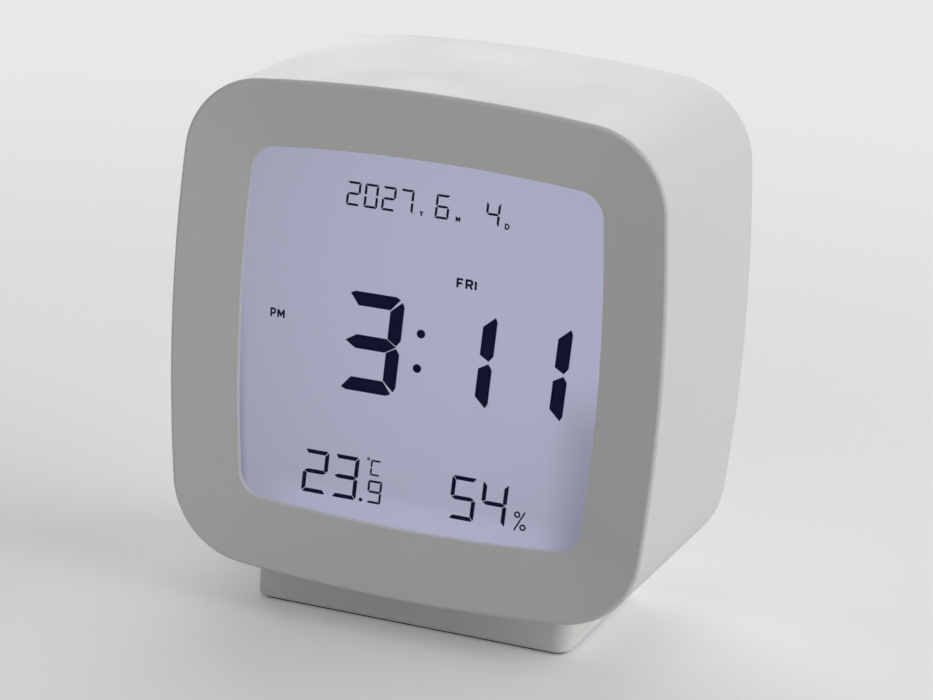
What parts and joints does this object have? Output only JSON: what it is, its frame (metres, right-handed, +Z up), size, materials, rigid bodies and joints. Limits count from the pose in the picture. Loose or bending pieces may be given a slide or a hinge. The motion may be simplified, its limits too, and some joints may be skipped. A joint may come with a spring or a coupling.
{
  "type": "thermometer hygrometer clock",
  "caption": "Rounded square desk clock in white plastic with a dished face, a lit display of time, date, temperature and humidity, on a narrower plinth that it presses down on.",
  "frame": {"origin": "middle of the base's underside, on the table", "axes": "+Z up, the face looks towards -Y, +X to the right as seen from the front"},
  "size_m": [0.0826, 0.046, 0.0885],
  "materials": {
    "housing_plastic": "fine satin moulded plastic",
    "base_plastic": "fine satin moulded plastic",
    "cover_plastic": "fine spark-eroded texture",
    "door_plastic": "fine spark-eroded texture",
    "button_plastic": "satin",
    "pad_rubber": "matte foam rubber",
    "screw_steel": "zinc plated",
    "spring_steel": "drawn wire",
    "contact_metal": "nickel plated",
    "lens_plastic": "clear, polished",
    "tape_black": "adhesive foil",
    "polariser_film": "clear tinted film",
    "cell_glass": "polished",
    "lit_glass": "polished, lit from behind",
    "seal_resin": "cured adhesive",
    "display_ink": "dark display marks",
    "frame_plastic": "white reflector frame",
    "diffuser_sheet": "milky film",
    "guide_acrylic": "clear light guide",
    "reflector_sheet": "mirror film",
    "lamp_resin": "white lamp package",
    "strip_amber": "flexible circuit",
    "zebra_rubber": "layered conductive rubber",
    "board_green": "solder mask",
    "chip_resin": "black epoxy",
    "crystal_can": "nickel silver can",
    "capacitor_can": "sleeved can",
    "plug_plastic": "natural nylon",
    "switch_body": "moulded switch case",
    "plunger_plastic": "moulded plunger",
    "sensor_case": "moulded case",
    "lead_insulation": "smooth sleeve",
    "signal_insulation": "smooth sleeve",
    "cell_jacket": "plain printed jacket",
    "plate_plastic": "moulded plastic"
  },
  "bodies": {
    "base": {"base": "base_plastic", "base_pad": "pad_rubber", "base_screws": "screw_steel", "base_washers": "screw_steel", "press_springs": "spring_steel", "press_plunger": "plunger_plastic"},
    "clock": {"front_housing": "housing_plastic", "rear_cover": "cover_plastic", "rear_cover_screws": "screw_steel", "display_lens": "lens_plastic", "lens_tape": "tape_black", "front_polariser": "polariser_film", "front_glass": "cell_glass", "edge_seal": "seal_resin", "time_marks": "display_ink", "date_marks": "display_ink", "climate_marks": "display_ink", "word_marks": "display_ink", "rear_glass": "lit_glass", "rear_polariser": "polariser_film", "diffuser_film": "diffuser_sheet", "light_guide": "guide_acrylic", "reflector_film": "reflector_sheet", "backlight_lamps": "lamp_resin", "lamp_strip": "strip_amber", "backlight_frame": "frame_plastic", "zebra_strip": "zebra_rubber", "main_board": "board_green", "main_board_screws": "screw_steel", "controller": "chip_resin", "clock_crystal": "crystal_can", "board_capacitors": "capacitor_can", "board_plugs": "plug_plastic", "guide_plate": "plate_plastic", "guide_plate_screws": "screw_steel", "press_board": "board_green", "press_switch": "switch_body", "press_board_screws": "screw_steel", "button_board": "board_green", "button_switches": "switch_body", "button_board_screws": "screw_steel", "sensor_board": "board_green", "climate_sensor": "sensor_case", "cell_upper": "cell_jacket", "cell_lower": "cell_jacket", "positive_contact": "contact_metal", "negative_contact": "contact_metal", "bridge_contact": "contact_metal", "battery_leads": "lead_insulation", "signal_leads": "signal_insulation"},
    "up_button": {"up_button": "button_plastic", "up_plunger": "plunger_plastic"},
    "set_button": {"set_button": "button_plastic", "set_plunger": "plunger_plastic"},
    "down_button": {"down_button": "button_plastic", "down_plunger": "plunger_plastic"},
    "battery_door": {"battery_door": "door_plastic"}
  },
  "joints": [
    {"name": "body_press", "type": "slide", "parent": "base", "child": "clock", "axis": [0, 0, -1], "range_m": [0, 0.001], "stiffness_N_per_m": 1000, "springref_m": -0.006, "deforming": ["press_springs"]},
    {"name": "up_button_press", "type": "slide", "parent": "clock", "child": "up_button", "axis": [0, -1, 0], "range_m": [0, 0.0005], "stiffness_N_per_m": 600, "springref_m": -0.0006},
    {"name": "set_button_press", "type": "slide", "parent": "clock", "child": "set_button", "axis": [0, -1, 0], "range_m": [0, 0.0005], "stiffness_N_per_m": 600, "springref_m": -0.0006},
    {"name": "down_button_press", "type": "slide", "parent": "clock", "child": "down_button", "axis": [0, -1, 0], "range_m": [0, 0.0005], "stiffness_N_per_m": 600, "springref_m": -0.0006},
    {"name": "battery_door_hinge", "type": "hinge", "parent": "clock", "child": "battery_door", "pos_m": [0, 0.0211, 0.03185], "axis": [-1, 0, 0], "range_deg": [0, 90]}
  ]
}
